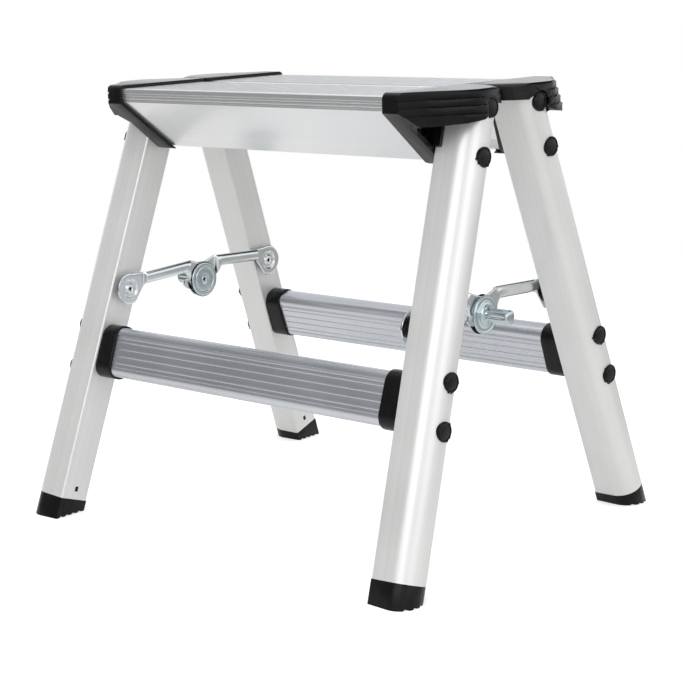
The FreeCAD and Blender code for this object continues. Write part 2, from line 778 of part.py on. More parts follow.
def make_plugs():
    """The four cover plugs of a leg, each saddled on its rounded outer side."""
    envelope = leg_envelope(0)
    plugs = []
    for reach, z in plug_spots():
        apex_x = leg_face_x(z) + leg_depth
        start = Vector(apex_x - plug_stem_length, -reach, z)
        head = rod(plug_radius, start, axis_x, plug_stem_length + plug_rise)
        rim = [edge for edge in head.Edges if edge.BoundBox.XMin > apex_x]
        head = head.makeChamfer(plug_chamfer, rim[:1]).cut(envelope)
        stem = rod(plug_stem_radius, start, axis_x, plug_stem_length + plug_rise / 2)
        plugs.append(head.fuse(stem).removeSplitter())
    return plugs


def make_spacer(end):
    """Round spacer between a leg's sloping inner face and the flat eye of an arm."""
    low_x = arm_outer_x if end > 0 else front_eye_outer_x() + spacer_gap
    bar = rod(spacer_radius, Vector(low_x, -eye_reach, eye_height), axis_x, leg_depth / 2)
    bar = bar.cut(placed(block((0, far), (-far, far), (-far, far)), leg_place))
    if end > 0:
        hole = rod(rivet_radius + running_gap, Vector(low_x - 1, -eye_reach, eye_height), axis_x, far)
        return bar.cut(hole)
    spigot_length = leg_face_x(eye_height) + leg_wall + rivet_tail_height - low_x
    return bar.fuse(rod(rivet_radius, Vector(low_x, -eye_reach, eye_height), axis_x, spigot_length))


def front_eye_outer_x():
    """Outer face of the front arm's plate, which runs inside the rear arm's plate."""
    return arm_outer_x - arm_plate - arm_layer_gap


def rivet_head(inner_x, eye_z):
    """Domed head with a hollow centre, standing inwards from a face."""
    start = Vector(inner_x, -eye_reach, eye_z)
    head = rod(rivet_head_radius, start, -axis_x, rivet_head_height)
    rim = [edge for edge in head.Edges if edge.BoundBox.XMax < inner_x - rivet_head_height / 2]
    return head.makeFillet(rivet_head_round, rim[:1])


def make_rivet(end):
    """Eye rivet: through the leg at the rear, held by the arm itself at the front."""
    inner_x = (arm_outer_x if end > 0 else front_eye_outer_x()) - arm_plate
    tail_x = leg_face_x(eye_height) + leg_wall + bolt_seat_gap if end > 0 else front_eye_outer_x()
    shank = rod(rivet_radius, Vector(inner_x, -eye_reach, eye_height), axis_x, tail_x - inner_x)
    rivet = rivet_head(inner_x, eye_height).fuse(shank)
    if end > 0:
        tail = rod(rivet_tail_radius, Vector(tail_x, -eye_reach, eye_height), axis_x, rivet_tail_height)
        rivet = rivet.fuse(tail)
    hollow_start = Vector(inner_x - rivet_head_height - 1, -eye_reach, eye_height)
    return rivet.cut(rod(rivet_hollow_radius, hollow_start, axis_x, rivet_head_height + 1)).removeSplitter()


def make_arm(end):
    """Spreader arm: flat eye, raised pressed rib and flat pivot lug, as a front right arm."""
    outer_x = arm_outer_x if end > 0 else front_eye_outer_x()
    inner_x = outer_x - arm_plate
    eye = Vector(inner_x, -eye_reach, eye_height)
    pivot = Vector(inner_x, 0, pivot_height)
    run = (pivot - eye).normalize()
    rise = Vector(0, -run.z, run.y)
    rib_start = eye + run * rib_eye_distance + rise * rib_eye_offset
    rib_end = pivot - run * rib_pivot_distance + rise * rib_pivot_offset
    rib_run = (rib_end - rib_start).normalize()
    rib_rise = Vector(0, -rib_run.z, rib_run.y)
    eye_plate = rod(eye_radius, eye, axis_x, arm_plate)
    pivot_plate = rod(pivot_plate_radius, pivot, axis_x, arm_plate)
    up = rib_rise * rib_half_height
    neck = polygon_face([eye + rise * neck_half_height, eye - rise * neck_half_height,
                         rib_start + rib_run * neck_overlap - up, rib_start + rib_run * neck_overlap + up])
    lug_start = rib_end - rib_run * lug_overlap
    lug = polygon_face([lug_start + up, lug_start - up, pivot - rise * lug_under - run * lug_under_step,
                        pivot + rise * lug_over + run * lug_over_step, rib_end + up])
    plate = eye_plate.fuse(pivot_plate)
    plate = plate.fuse(neck.extrude(axis_x * arm_plate)).fuse(lug.extrude(axis_x * arm_plate))
    shift = Vector(rib_inner_x - inner_x, 0, 0)
    depth = outer_x - rib_inner_x
    rib_face = polygon_face([
        rib_start + shift - up,
        (rib_start + shift - rib_run * rib_half_height,),
        rib_start + shift + up,
        rib_end + shift + up,
        (rib_end + shift + rib_run * rib_half_height,),
        rib_end + shift - up,
    ])
    rib = rib_face.extrude(axis_x * depth)
    rim = [edge for edge in rib.Edges if edge.BoundBox.XMax < rib_inner_x + touch]
    arm = plate.fuse(rib.makeFillet(rib_round, rim))
    arm = arm.cut(rod(rivet_radius + running_gap, eye - axis_x, axis_x, arm_plate + 2))
    return arm.cut(rod(pivot_radius + running_gap, pivot - axis_x, axis_x, arm_plate + 2)).removeSplitter()


def make_pivot_pin():
    """Pivot pin of the spreader with its washer, shank and fluted grip end."""
    shank_start = front_eye_outer_x() - arm_plate - arm_layer_gap - disc_height
    washer = rod(pivot_washer_radius, Vector(arm_outer_x, 0, pivot_height), axis_x, pivot_washer_height)
    rim = [edge for edge in washer.Edges if edge.BoundBox.XMin > arm_outer_x + pivot_washer_height / 2]
    washer = washer.makeChamfer(pivot_washer_height / 2, rim[:1])
    shank = rod(pivot_radius, Vector(shank_start, 0, pivot_height), axis_x, arm_outer_x - shank_start)
    hub_x = arm_outer_x + pivot_washer_height
    hub = rod(pivot_hub_radius, Vector(hub_x, 0, pivot_height), axis_x, pivot_hub_length)
    rim = [edge for edge in hub.Edges if edge.BoundBox.XMin > hub_x + pivot_hub_length / 2]
    hub = hub.makeChamfer(1.0, rim[:1])
    for k in range(pivot_flute_count):
        angle = 2 * math.pi * k / pivot_flute_count
        rise = pivot_hub_radius * math.sin(angle)
        spot = Vector(hub_x, pivot_hub_radius * math.cos(angle), pivot_height + rise)
        hub = hub.cut(rod(pivot_flute_radius, spot, axis_x, pivot_flute_length))
    return washer.fuse(shank).fuse(hub).removeSplitter()


def make_disc():
    """Cover disc on the inner end of the pivot, with a pressed ring."""
    face_x = front_eye_outer_x() - arm_plate - arm_layer_gap
    start = Vector(face_x, 0, pivot_height)
    disc = rod(disc_radius, start, -axis_x, disc_height)
    groove_x = face_x - disc_height - 1
    ring = rod(disc_groove_radius + disc_groove_width, Vector(groove_x, 0, pivot_height), axis_x,
               1 + disc_groove_sink)
    ring = ring.cut(rod(disc_groove_radius, Vector(groove_x, 0, pivot_height), axis_x, disc_height + 1))
    return disc.cut(ring).cut(rod(pivot_radius, start + axis_x, -axis_x, disc_height + 2))


def arm_turns():
    """How far each arm turns over the whole fold: rear arm on its leg, front arm on the rear arm."""
    half = math.radians(fold_limit / 2)
    drop = eye_height - hinge_height
    length = math.hypot(eye_reach, eye_height - pivot_height)
    droop = math.atan2(eye_height - pivot_height, eye_reach)
    reach = eye_reach * math.cos(half) + drop * math.sin(half)
    lift = math.acos(reach / length)
    return math.degrees(lift + droop - half), math.degrees(2 * (lift + droop))


def write(name, shape):
    """Export one named piece."""
    shape.exportStep("parts/" + name + ".step")
    box = shape.BoundBox
    print("%-24s %2d solids %9.0f mm3  valid %s  X %.1f..%.1f  Y %.1f..%.1f  Z %.1f..%.1f" % (
        name, len(shape.Solids), shape.Volume, shape.isValid(),
        box.XMin, box.XMax, box.YMin, box.YMax, box.ZMin, box.ZMax))


def main():
    os.makedirs("parts", exist_ok=True)
    tread = make_tread()
    leg = make_leg()
    foot = make_foot()
    rung = make_rung()
    collar = make_collar()
    shell = cap_shell()
    bolts = make_bolts()
    plugs = make_plugs()
    for end, end_name in ((-1, "front"), (1, "rear")):
        write(end_name + "_tread", mirrored(tread, 1, end))
        write(end_name + "_rung", mirrored(rung, 1, end))
        for side, side_name in ((-1, "left"), (1, "right")):
            corner = end_name + "_" + side_name
            write(corner + "_leg", mirrored(leg, side, end))
            write(corner + "_foot", mirrored(foot, side, end))
            write(corner + "_rung_collar", mirrored(collar, side, end))
            write(corner + "_cap", make_cap(shell, side, end))
            write(corner + "_bolts", mirrored(Part.Compound(bolts), side, end))
            write(corner + "_plugs", mirrored(Part.Compound(plugs), side, end))
            write(corner + "_spacer", mirrored(make_spacer(end), side, end))
            write(corner + "_rivet", mirrored(make_rivet(end), side, end))
            write(corner + "_arm", mirrored(make_arm(end), side, end))
    for side, side_name in ((-1, "left"), (1, "right")):
        write(side_name + "_hinge_pin", make_hinge_pin(side))
        write(side_name + "_pivot_pin", mirrored(make_pivot_pin(), side, -1))
        write(side_name + "_pivot_disc", mirrored(make_disc(), side, -1))
    print("hinge height %.1f, fold 0 to %.1f" % (hinge_height, fold_limit))
    print("arm turns over the fold: %.6f on the leg, %.6f at the pivot" % arm_turns())


main()
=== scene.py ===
import json
import math

import bmesh
import bpy
import numpy as np
from mathutils import Matrix, Vector


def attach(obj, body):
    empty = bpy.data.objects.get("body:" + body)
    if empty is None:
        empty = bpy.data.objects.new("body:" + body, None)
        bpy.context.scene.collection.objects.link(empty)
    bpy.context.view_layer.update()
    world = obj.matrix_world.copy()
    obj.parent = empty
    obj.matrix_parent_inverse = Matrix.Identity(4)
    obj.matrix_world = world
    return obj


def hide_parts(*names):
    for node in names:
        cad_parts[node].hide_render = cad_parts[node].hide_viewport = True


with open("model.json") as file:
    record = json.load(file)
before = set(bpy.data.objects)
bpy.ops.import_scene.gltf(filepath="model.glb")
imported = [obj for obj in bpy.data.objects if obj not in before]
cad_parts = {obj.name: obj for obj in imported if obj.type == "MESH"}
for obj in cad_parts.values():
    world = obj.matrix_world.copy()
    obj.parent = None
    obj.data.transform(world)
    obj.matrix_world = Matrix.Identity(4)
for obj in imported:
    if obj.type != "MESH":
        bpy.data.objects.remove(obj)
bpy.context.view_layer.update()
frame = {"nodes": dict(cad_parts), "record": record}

nodes = frame["nodes"]
mm = 0.001
weld = 0.000001

# Shape dictionaries are in mm and degrees, as the CAD is; looks, camera and studio are in metres.
stance = {
    "deck": 397.0,
    "tilt": 19.5,
    "splay": 3.07,
    "footReach": 170.7,
    "innerFootX": 189.6,
}


class Wire:
    # one output of a shader node; arithmetic on it adds Math nodes

    def __init__(self, graph, out):
        self.graph = graph
        self.out = out

    def calc(self, operation, a, b):
        return self.graph.node("ShaderNodeMath", {"operation": operation}, {0: a, 1: b})

    def __add__(self, other):
        return self.calc("ADD", self, other)

    __radd__ = __add__

    def __sub__(self, other):
        return self.calc("SUBTRACT", self, other)

    def __rsub__(self, other):
        return self.calc("SUBTRACT", other, self)

    def __mul__(self, other):
        return self.calc("MULTIPLY", self, other)

    __rmul__ = __mul__

    def clamp(self):
        return self.graph.node("ShaderNodeClamp", {}, {0: self})

    def part(self, name):
        return Wire(self.graph, self.out.node.outputs[name])


class Graph:
    # a node tree; every node but the arithmetic comes from the one method below

    def __init__(self, owner):
        owner.use_nodes = True
        self.tree = owner.node_tree
        self.tree.nodes.clear()

    def node(self, kind, settings, sockets):
        made = self.tree.nodes.new(kind)
        for key, value in settings.items():
            setattr(made, key, value)
        for key, value in sockets.items():
            if isinstance(value, Wire):
                self.tree.links.new(value.out, made.inputs[key])
            else:
                made.inputs[key].default_value = value
        return Wire(self, made.outputs[0] if made.outputs else None)

    def eased(self, value, low, high):
        # 0 below low, 1 above high, and 3 t ^ 2 - 2 t ^ 3 between
        return self.node("ShaderNodeMapRange", {"interpolation_type": "SMOOTHSTEP"},
                         {"Value": value, "From Min": low, "From Max": high})

    def along(self, vector, way):
        # how far a vector reaches along a direction
        dot = self.node("ShaderNodeVectorMath", {"operation": "DOT_PRODUCT"}, {0: vector, 1: way})
        return dot.part("Value")

    def tint(self, factor, low, high):
        # colour between two others
        low, high = (end if isinstance(end, Wire) else (*end, 1.0) for end in (low, high))
        return self.node("ShaderNodeMix", {"data_type": "RGBA"}, {0: factor, 6: low, 7: high}).part(2)


class Paint(Graph):
    # a material under construction, with one Principled shader

    def __init__(self, name, roughness, metallic=0.0, specular=0.5):
        self.material = bpy.data.materials.new(name)
        super().__init__(self.material)
        settings = {"Roughness": roughness, "Metallic": metallic, "Specular IOR Level": specular}
        self.surface = self.node("ShaderNodeBsdfPrincipled", {}, settings)
        self.shader = self.surface.out.node
        self.node("ShaderNodeOutputMaterial", {}, {"Surface": self.surface})
        self.place = self.node("ShaderNodeTexCoord", {}, {}).part("Object")
        self.facing = self.place.part("Normal")
        self.laid = self.node("ShaderNodeUVMap", {"uv_map": "laid"}, {})

    def feed(self, name, value):
        self.tree.links.new(value.out, self.shader.inputs[name])

    def noise(self, scale, stretch=(1, 1, 1), detail=3.0, rough=0.5, on=None):
        # noise on a coordinate, squeezed by stretch so that grain can run along one way
        spot = self.node("ShaderNodeMapping", {}, {"Vector": on or self.place, "Scale": stretch})
        settings = {"Vector": spot, "Scale": scale, "Detail": detail, "Roughness": rough}
        return self.node("ShaderNodeTexNoise", {}, settings).part("Fac")

    def bump(self, height, strength, distance):
        self.feed("Normal", self.node("ShaderNodeBump", {},
                                      {"Height": height, "Strength": strength, "Distance": distance}))


legLook = {
    "colour": (0.91, 0.91, 0.9),
    "darker": (0.74, 0.74, 0.73),
    "metal": 0.4,
    "roughness": 0.36,
    "fineLines": 700.0,
    "broadLines": 150.0,
    "lineDepth": 0.00005,
}

treadLook = {
    "colour": (0.98, 0.985, 0.99),
    "darker": (0.87, 0.885, 0.905),
    "metal": 0.9,
    "roughness": 0.24,
    "fineLines": 300.0,
    "broadLines": 60.0,
    "lineDepth": 0.0,
}

# the rung's colours are darker and bluer than the other aluminium as painted shade: they stand in for the
# dimmer reflection its lengthwise die lines give
rungLook = {
    "colour": (0.78, 0.80, 0.84),
    "darker": (0.62, 0.64, 0.685),
    "metal": 0.9,
    "roughness": 0.29,
    "fineLines": 1600.0,
    "broadLines": 260.0,
    "lineDepth": 0.00008,
}

metalGrain = {
    "fineStretch": 0.002,
    "broadStretch": 0.003,
    "clouds": 16.0,
    "fineShade": 0.35,
    "broadShade": 0.6,
    "cloudShade": 0.5,
    "shadeOffset": 0.22,
    "cloudRough": 0.12,
    "broadRough": 0.08,
    "roughOffset": 0.1,
    "fineBump": 0.7,
    "broadBump": 0.5,
    "bumpStrength": 0.7,
}

plasticLook = {
    "colour": (0.003, 0.003, 0.0032),
    "worn": (0.010, 0.010, 0.0105),
    # painted sheen: the lighter colour given to faces that look up
    "sheenColour": (0.045, 0.043, 0.041),
    "roughness": 0.30,
    "specular": 0.5,
    "specularTint": (0.4, 0.4, 0.4),
    "clouds": 45.0,
    "wornGain": 1.8,
    "wornOffset": 0.6,
    "topSpan": (0.93, 0.99),
    "sheenMottle": 260.0,
    "sheenMottleSpan": (0.25, 0.7),
    "cloudRough": 0.2,
    "grainRough": 0.12,
    "topPolish": 0.12,
    "roughOffset": 0.16,
    "grain": 1500.0,
    "grainStrength": 0.6,
    "grainDepth": 0.00009,
}

armLook = {
    "colour": (0.90, 0.925, 0.935),
    "darker": (0.75, 0.78, 0.79),
    "roughness": 0.14,
}

zincLook = {
    "colour": (0.72, 0.80, 0.82),
    "darker": (0.50, 0.59, 0.62),
    "roughness": 0.15,
}

zincGrain = {
    "clouds": 90.0,
    "cloudRough": 0.12,
    "roughOffset": 0.05,
    "lines": 1100.0,
    "lineStretch": 0.1,
    "lineStrength": 0.3,
    "lineDepth": 0.00002,
}


def makeAluminium(name, look, grain=metalGrain):
    # extruded aluminium: fine and broad die lines along the laid coordinate, over cloudy patches
    paint = Paint(name, look["roughness"], look["metal"])
    fine = paint.noise(look["fineLines"], (1, grain["fineStretch"], 1), 0.0, 0.5, paint.laid)
    broad = paint.noise(look["broadLines"], (1, grain["broadStretch"], 1), 1.0, 0.5, paint.laid)
    cloud = paint.noise(grain["clouds"], (1, 1, 1), 2.0, 0.5)
    shade = fine * grain["fineShade"] + broad * grain["broadShade"] + cloud * grain["cloudShade"]
    shade = (shade - grain["shadeOffset"]).clamp()
    paint.feed("Base Color", paint.tint(shade, look["darker"], look["colour"]))
    rough = cloud * grain["cloudRough"] + broad * grain["broadRough"]
    paint.feed("Roughness", (rough + (look["roughness"] - grain["roughOffset"])).clamp())
    if look["lineDepth"]:
        lines = fine * grain["fineBump"] + broad * grain["broadBump"]
        paint.bump(lines, grain["bumpStrength"], look["lineDepth"])
    return paint.material


def makePlastic(name, look):
    # moulded black plastic: spark-eroded grain, duller patches, and faces that look up smoother and lighter,
    # the lighter colour a painted sheen mottled by noise
    paint = Paint(name, look["roughness"], 0.0, look["specular"])
    paint.shader.inputs["Specular Tint"].default_value = (*look["specularTint"], 1.0)
    grain = paint.noise(look["grain"], (1, 1, 1), 2.0, 0.55)
    cloud = paint.noise(look["clouds"], (1, 1, 1), 4.0, 0.6)
    upward = paint.eased(paint.along(paint.facing, (0, 0, 1)), *look["topSpan"])
    # painted sheen: faces that look up are lightened, in a noise mottle, to stand in for their grazing
    # reflection
    paintedSheen = upward * paint.eased(paint.noise(look["sheenMottle"], (1, 1, 1), 4.0, 0.7), *look["sheenMottleSpan"])
    worn = (cloud * look["wornGain"] - look["wornOffset"]).clamp()
    body = paint.tint(worn, look["colour"], look["worn"])
    paint.feed("Base Color", paint.tint(paintedSheen, body, look["sheenColour"]))
    rough = cloud * look["cloudRough"] + grain * look["grainRough"] - upward * look["topPolish"]
    paint.feed("Roughness", (rough + (look["roughness"] - look["roughOffset"])).clamp())
    paint.bump(grain, look["grainStrength"], look["grainDepth"])
    return paint.material


def makeZinc(name, look, grain=zincGrain):
    # zinc plate with a bluish cast, faint rolling lines and soft cloudy patches
    paint = Paint(name, look["roughness"], 1.0)
    cloud = paint.noise(grain["clouds"], (1, 1, 1), 3.0, 0.5)
    lines = paint.noise(grain["lines"], (1, grain["lineStretch"], 1), 2.0, 0.5)
    paint.feed("Base Color", paint.tint(cloud, look["darker"], look["colour"]))
    rough = cloud * grain["cloudRough"] + (look["roughness"] - grain["roughOffset"])
    paint.feed("Roughness", rough.clamp())
    paint.bump(lines, grain["lineStrength"], grain["lineDepth"])
    return paint.material


legMetal = makeAluminium("leg_aluminium", legLook)
treadMetal = makeAluminium("tread_aluminium", treadLook)
rungMetal = makeAluminium("rung_aluminium", rungLook)
plastic = makePlastic("moulded_plastic", plasticLook)
zinc = makeZinc("blue_zinc_plate", zincLook)
armZinc = makeZinc("bright_zinc_plate", armLook)
finishes = {"leg": legMetal, "tread": treadMetal, "rung": rungMetal, "bolts": zinc, "rivet": armZinc,
            "arm": armZinc, "pin": zinc, "disc": zinc}
for node, solid in nodes.items():
    solid.data.materials.clear()
    solid.data.materials.append(finishes.get(node.split("_")[-1], plastic))
print("finishes on", len(nodes), "CAD nodes")


def turned(points, tilt, splay=0.0, shift=0.0):
    # points of a leg or rung carried into the object: a turn about Y by the splay, a shift along X,
    # then the frame's lean about X from the foot line
    x, y, z = points[..., 0], points[..., 1], points[..., 2]
    lean, spread = math.radians(tilt), math.radians(splay)
    across = x * math.cos(spread) - z * math.sin(spread) + shift
    along = x * math.sin(spread) + z * math.cos(spread)
    back = y * math.cos(lean) + along * math.sin(lean) - stance["footReach"]
    return np.stack([across, back, along * math.cos(lean) - y * math.sin(lean)], -1)


def inFrame(points):
    # points of a rung, which stands square in its frame
    return turned(points, stance["tilt"])


def inLeg(points):
    # points of a right-hand leg, x across it from the inner wall, z up along it
    return turned(points, stance["tilt"], stance["splay"], stance["innerFootX"])


def outline(corners, steps=5):
    # closed outline of corners (a, b, radius), each cut by an arc that starts radius / tan(half angle) away
    made = []
    for k, (a, b, radius) in enumerate(corners):
        here = np.array((a, b), float)
        before = np.array(corners[k - 1][:2]) - here
        after = np.array(corners[(k + 1) % len(corners)][:2]) - here
        reach = min(np.linalg.norm(before), np.linalg.norm(after)) * 0.49
        before = before / np.linalg.norm(before)
        after = after / np.linalg.norm(after)
        half = math.acos(np.clip(before @ after, -1, 1)) / 2
        reach = min(radius / math.tan(half), reach)
        if reach < 0.01:
            made.append(here[None])
            continue
        bend = reach * math.tan(half)
        middle = here + (before + after) / np.linalg.norm(before + after) * bend / math.sin(half)
        start, end = here + before * reach - middle, here + after * reach - middle
        sweep = math.pi - 2 * half
        t = np.linspace(0, 1, steps + 1)[:, None]
        made.append(middle + (np.sin((1 - t) * sweep) * start + np.sin(t * sweep) * end) / math.sin(sweep))
    return np.vstack(made)


def tube(rings, ends=True):
    # rings of points joined row by row, flat faces on both ends; laid: mm round the ring and along the rows
    rows, cols = rings.shape[:2]
    index = np.arange(rows * cols).reshape(rows, cols)
    ahead = np.roll(index, -1, axis=1)
    faces = np.stack([index[:-1], ahead[:-1], ahead[1:], index[1:]], -1).reshape(-1, 4)
    step = np.linalg.norm(np.roll(rings, -1, axis=1) - rings, axis=2).mean(0)
    around = np.concatenate([[0], np.cumsum(step)])
    along = np.concatenate([[0], np.cumsum(np.linalg.norm(np.diff(rings, axis=0), axis=2).mean(1))])
    u, v = np.meshgrid(around, along)
    laid = np.stack([u, v], -1)
    corner = np.stack([laid[:-1, :-1], laid[:-1, 1:], laid[1:, 1:], laid[1:, :-1]], 2).reshape(-1, 4, 2)
    caps = [index[0][::-1], index[-1]] if ends else []
    return {"points": rings.reshape(-1, 3), "faces": faces, "laid": corner, "caps": caps}


def lathe(profile, count=48, wobble=None):
    # profile (radius, x) turned about X; wobble scales the radius by angle for flats and nibs
    angle = np.linspace(0, 2 * math.pi, count, endpoint=False)
    reach, height = np.hsplit(np.asarray(profile, float), 2)
    radius = reach * (np.ones(count) if wobble is None else wobble(angle))
    height = np.broadcast_to(height, radius.shape)
    return np.stack([height, radius * np.cos(angle), radius * np.sin(angle)], -1)


def joined(name, tubes, material, mirror=(1, 1), sharp=38):
    # one object from tubes in mm, mirrored to its corner and turned so that its faces look outwards
    points, faces, laid, start = [], [], [], 0
    for one in tubes:
        spots = one["points"] * np.array((mirror[0], mirror[1], 1))
        rings = [face for face in one["faces"]] + list(one["caps"])
        uv = list(one["laid"]) + [np.zeros((len(cap), 2)) for cap in one["caps"]]
        corner = spots[one["faces"]]
        volume = np.einsum("ij,ij->i", corner[:, 0], np.cross(corner[:, 1], corner[:, 2])).sum()
        volume += np.einsum("ij,ij->i", corner[:, 0], np.cross(corner[:, 2], corner[:, 3])).sum()
        for cap in one["caps"]:
            fan = spots[cap]
            volume += np.einsum("ij,ij->i", np.broadcast_to(fan[0], fan[1:-1].shape),
                                np.cross(fan[1:-1], fan[2:])).sum()
        flip = -1 if volume < 0 else 1
        faces += [(np.asarray(ring) + start)[::flip].tolist() for ring in rings]
        laid += [one[::flip] for one in uv]
        points.append(spots)
        start += len(spots)
    mesh = bpy.data.meshes.new(name)
    mesh.from_pydata((np.vstack(points) * mm).tolist(), [], faces)
    layer = mesh.uv_layers.new(name="laid")
    layer.data.foreach_set("uv", (np.vstack(laid) * mm).ravel())
    mesh.polygons.foreach_set("use_smooth", np.ones(len(mesh.polygons), bool))
    mesh.set_sharp_from_angle(angle=math.radians(sharp))
    mesh.materials.append(material)
    mesh.update()
    shape = bmesh.new()
    shape.from_mesh(mesh)
    bmesh.ops.remove_doubles(shape, verts=shape.verts, dist=weld)
    shape.to_mesh(mesh)
    shape.free()
    made = bpy.data.objects.new(name, mesh)
    bpy.context.scene.collection.objects.link(made)
    return made


def dressed(piece, node):
    # a piece that stands for one CAD node and moves with that node's body
    body = next(name for name, members in frame["record"]["behaviour"]["bodies"].items() if node in members)
    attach(piece, body)
    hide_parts(node)


softShape = {
    "capEdge": 0.7,
    "footEdge": 0.8,
    "segments": 3,
    "sharpest": 28,
    "flattest": 0.5,
}


def softened(node, width, shape=softShape):
    # the CAD solid with every edge sharper than the limit truly rounded
    mesh = nodes[node].data.copy()
    mesh.name = node + "_soft"
    solid = bmesh.new()
    solid.from_mesh(mesh)
    bmesh.ops.remove_doubles(solid, verts=solid.verts, dist=2 * weld)
    flattest = math.radians(shape["flattest"])
    bmesh.ops.dissolve_limit(solid, angle_limit=flattest, verts=solid.verts, edges=solid.edges)
    solid.to_mesh(mesh)
    solid.free()
    mesh.materials.clear()
    mesh.materials.append(plastic)
    mesh.polygons.foreach_set("use_smooth", np.ones(len(mesh.polygons), bool))
    made = bpy.data.objects.new(node + "_soft", mesh)
    bpy.context.scene.collection.objects.link(made)
    bevel = made.modifiers.new("rounded", "BEVEL")
    bevel.width = width * mm
    bevel.segments = shape["segments"]
    bevel.limit_method = "ANGLE"
    bevel.angle_limit = math.radians(shape["sharpest"])
    bevel.harden_normals = True
    dressed(made, node)


corners = [(end, side, (1 if side == "right" else -1, 1 if end == "front" else -1))
           for end in ("front", "rear") for side in ("left", "right")]

legShape = {
    "depth": 39.4,
    "halfWidth": 18.18,
    "innerHalf": 15.7,
    "outerRound": 16.95,
    "innerRound": 1.7,
    "start": 15.0,
    "top": 392.5,
    "arcSteps": 14,
    "rows": 12,
}


def makeLeg(end, side, mirror, shape=legShape):
    # D outline swept along the leg: each point's height runs from the start to where it meets the level
    # top, (top - its z at the start of the leg) / rise of z along the leg
    section = outline([(0, -shape["innerHalf"], shape["innerRound"]),
                       (shape["depth"], -shape["halfWidth"], shape["outerRound"]),
                       (shape["depth"], shape["halfWidth"], shape["outerRound"]),
                       (0, shape["innerHalf"], shape["innerRound"])], shape["arcSteps"])
    slope = inLeg(np.array([[0, 0, 0], [1, 0, 0], [0, 1, 0], [0, 0, 1.0]]))[:, 2]
    rise = slope[1:] - slope[0]
    top = (shape["top"] - slope[0] - section @ rise[:2]) / rise[2]
    levels = np.linspace(0, 1, shape["rows"])[:, None]
    heights = shape["start"] + (top - shape["start"]) * levels
    rings = np.stack(np.broadcast_arrays(section[:, 0], section[:, 1], heights), -1)
    piece = joined("%s_%s_leg_skin" % (end, side), [tube(inLeg(rings))], legMetal, mirror)
    dressed(piece, "%s_%s_leg" % (end, side))


for corner in corners:
    makeLeg(*corner)
print("legs are in")

rungShape = {
    "line": 159.6,
    "width": 46.9,
    "depth": 22.5,
    "corner": 8.0,
    "halfLength": 176.8,
    "beads": (-10.8, -4.1, 2.6, 9.3, 13.0),
    "beadWidth": 1.1,
    "beadRise": 0.38,
    "grooves": (-15.0, 14.6),
    "grooveWidth": 0.9,
    "grooveDepth": 0.35,
    "grid": 0.14,
    "arcSteps": 10,
    "rows": 8,
}


def makeRung(end, mirror, shape=rungShape):
    # rounded bar; each bead or groove moves both faces by
    # rise * (1 - (distance / half width) ^ 2) ^ 1.5
    half, side = shape["width"] / 2, shape["depth"] / 2
    flat = np.arange(-half + shape["corner"], half - shape["corner"] + 0.01, shape["grid"])
    lift = 0
    for spots, width, rise in ((shape["beads"], shape["beadWidth"], shape["beadRise"]),
                               (shape["grooves"], shape["grooveWidth"], -shape["grooveDepth"])):
        bumps = [np.clip(1 - ((flat - spot) / (width / 2)) ** 2, 0, 1) ** 1.5 for spot in spots]
        lift = lift + sum(bumps) * rise
    arc = np.linspace(0, math.pi / 2, shape["arcSteps"])[1:-1]
    turn = np.column_stack([np.cos(arc), np.sin(arc)]) * shape["corner"]
    middle = np.array((side - shape["corner"], half - shape["corner"]))
    top = middle + turn
    outer = np.column_stack([side + lift, flat])
    section = np.vstack([outer, top, (top * (-1, 1))[::-1],
                         (outer * (-1, 1))[::-1], top * (-1, -1), (top * (1, -1))[::-1]])
    x = np.linspace(-shape["halfLength"], shape["halfLength"], shape["rows"])[:, None]
    rings = np.stack(np.broadcast_arrays(x, section[:, 0], section[:, 1] + shape["line"]), -1)
    piece = joined("%s_rung_skin" % end, [tube(inFrame(rings))], rungMetal, mirror)
    dressed(piece, "%s_rung" % end)


for end, way in (("front", 1), ("rear", -1)):
    makeRung(end, (1, way))
print("rungs are in")

treadShape = {
    "halfLength": 160.0,
    "nose": 107.7,
    "ridgeHeight": 0.5,
    "ridgeWidth": 2.4,
    "ridgePitch": 5.0,
    "ridgeStart": 8.0,
    "ridgeSlope": 0.3,
    "joint": 0.5,
    "lip": (6.0, 5.2),
    "noseRound": 3.0,
    "noseFlat": (4.2, 4.7),
    "noseBand": 12.4,
    "recess": 0.7,
    "beads": (6.1, 8.8),
    "beadHalf": (0.4, 0.55),
    "groove": 11.4,
    "grooveDepth": 0.8,
    "grooveHalf": (0.3, 0.4),
    "skirt": (50.0, 56.4),
    "hem": (46.8, 57.3),
    "underside": ((42.2, 55.5, 0.8), (43.6, 48.0, 1.0), (29.7, 3.5, 0.5), (3.0, 3.5, 0.3), (3.0, 7.5, 0.2),
                  (0.5, 7.5, 0.2)),
    "foot": 0.15,
    "crest": 0.2,
    "edge": 0.3,
    "fold": 0.5,
    "rows": 10,
}


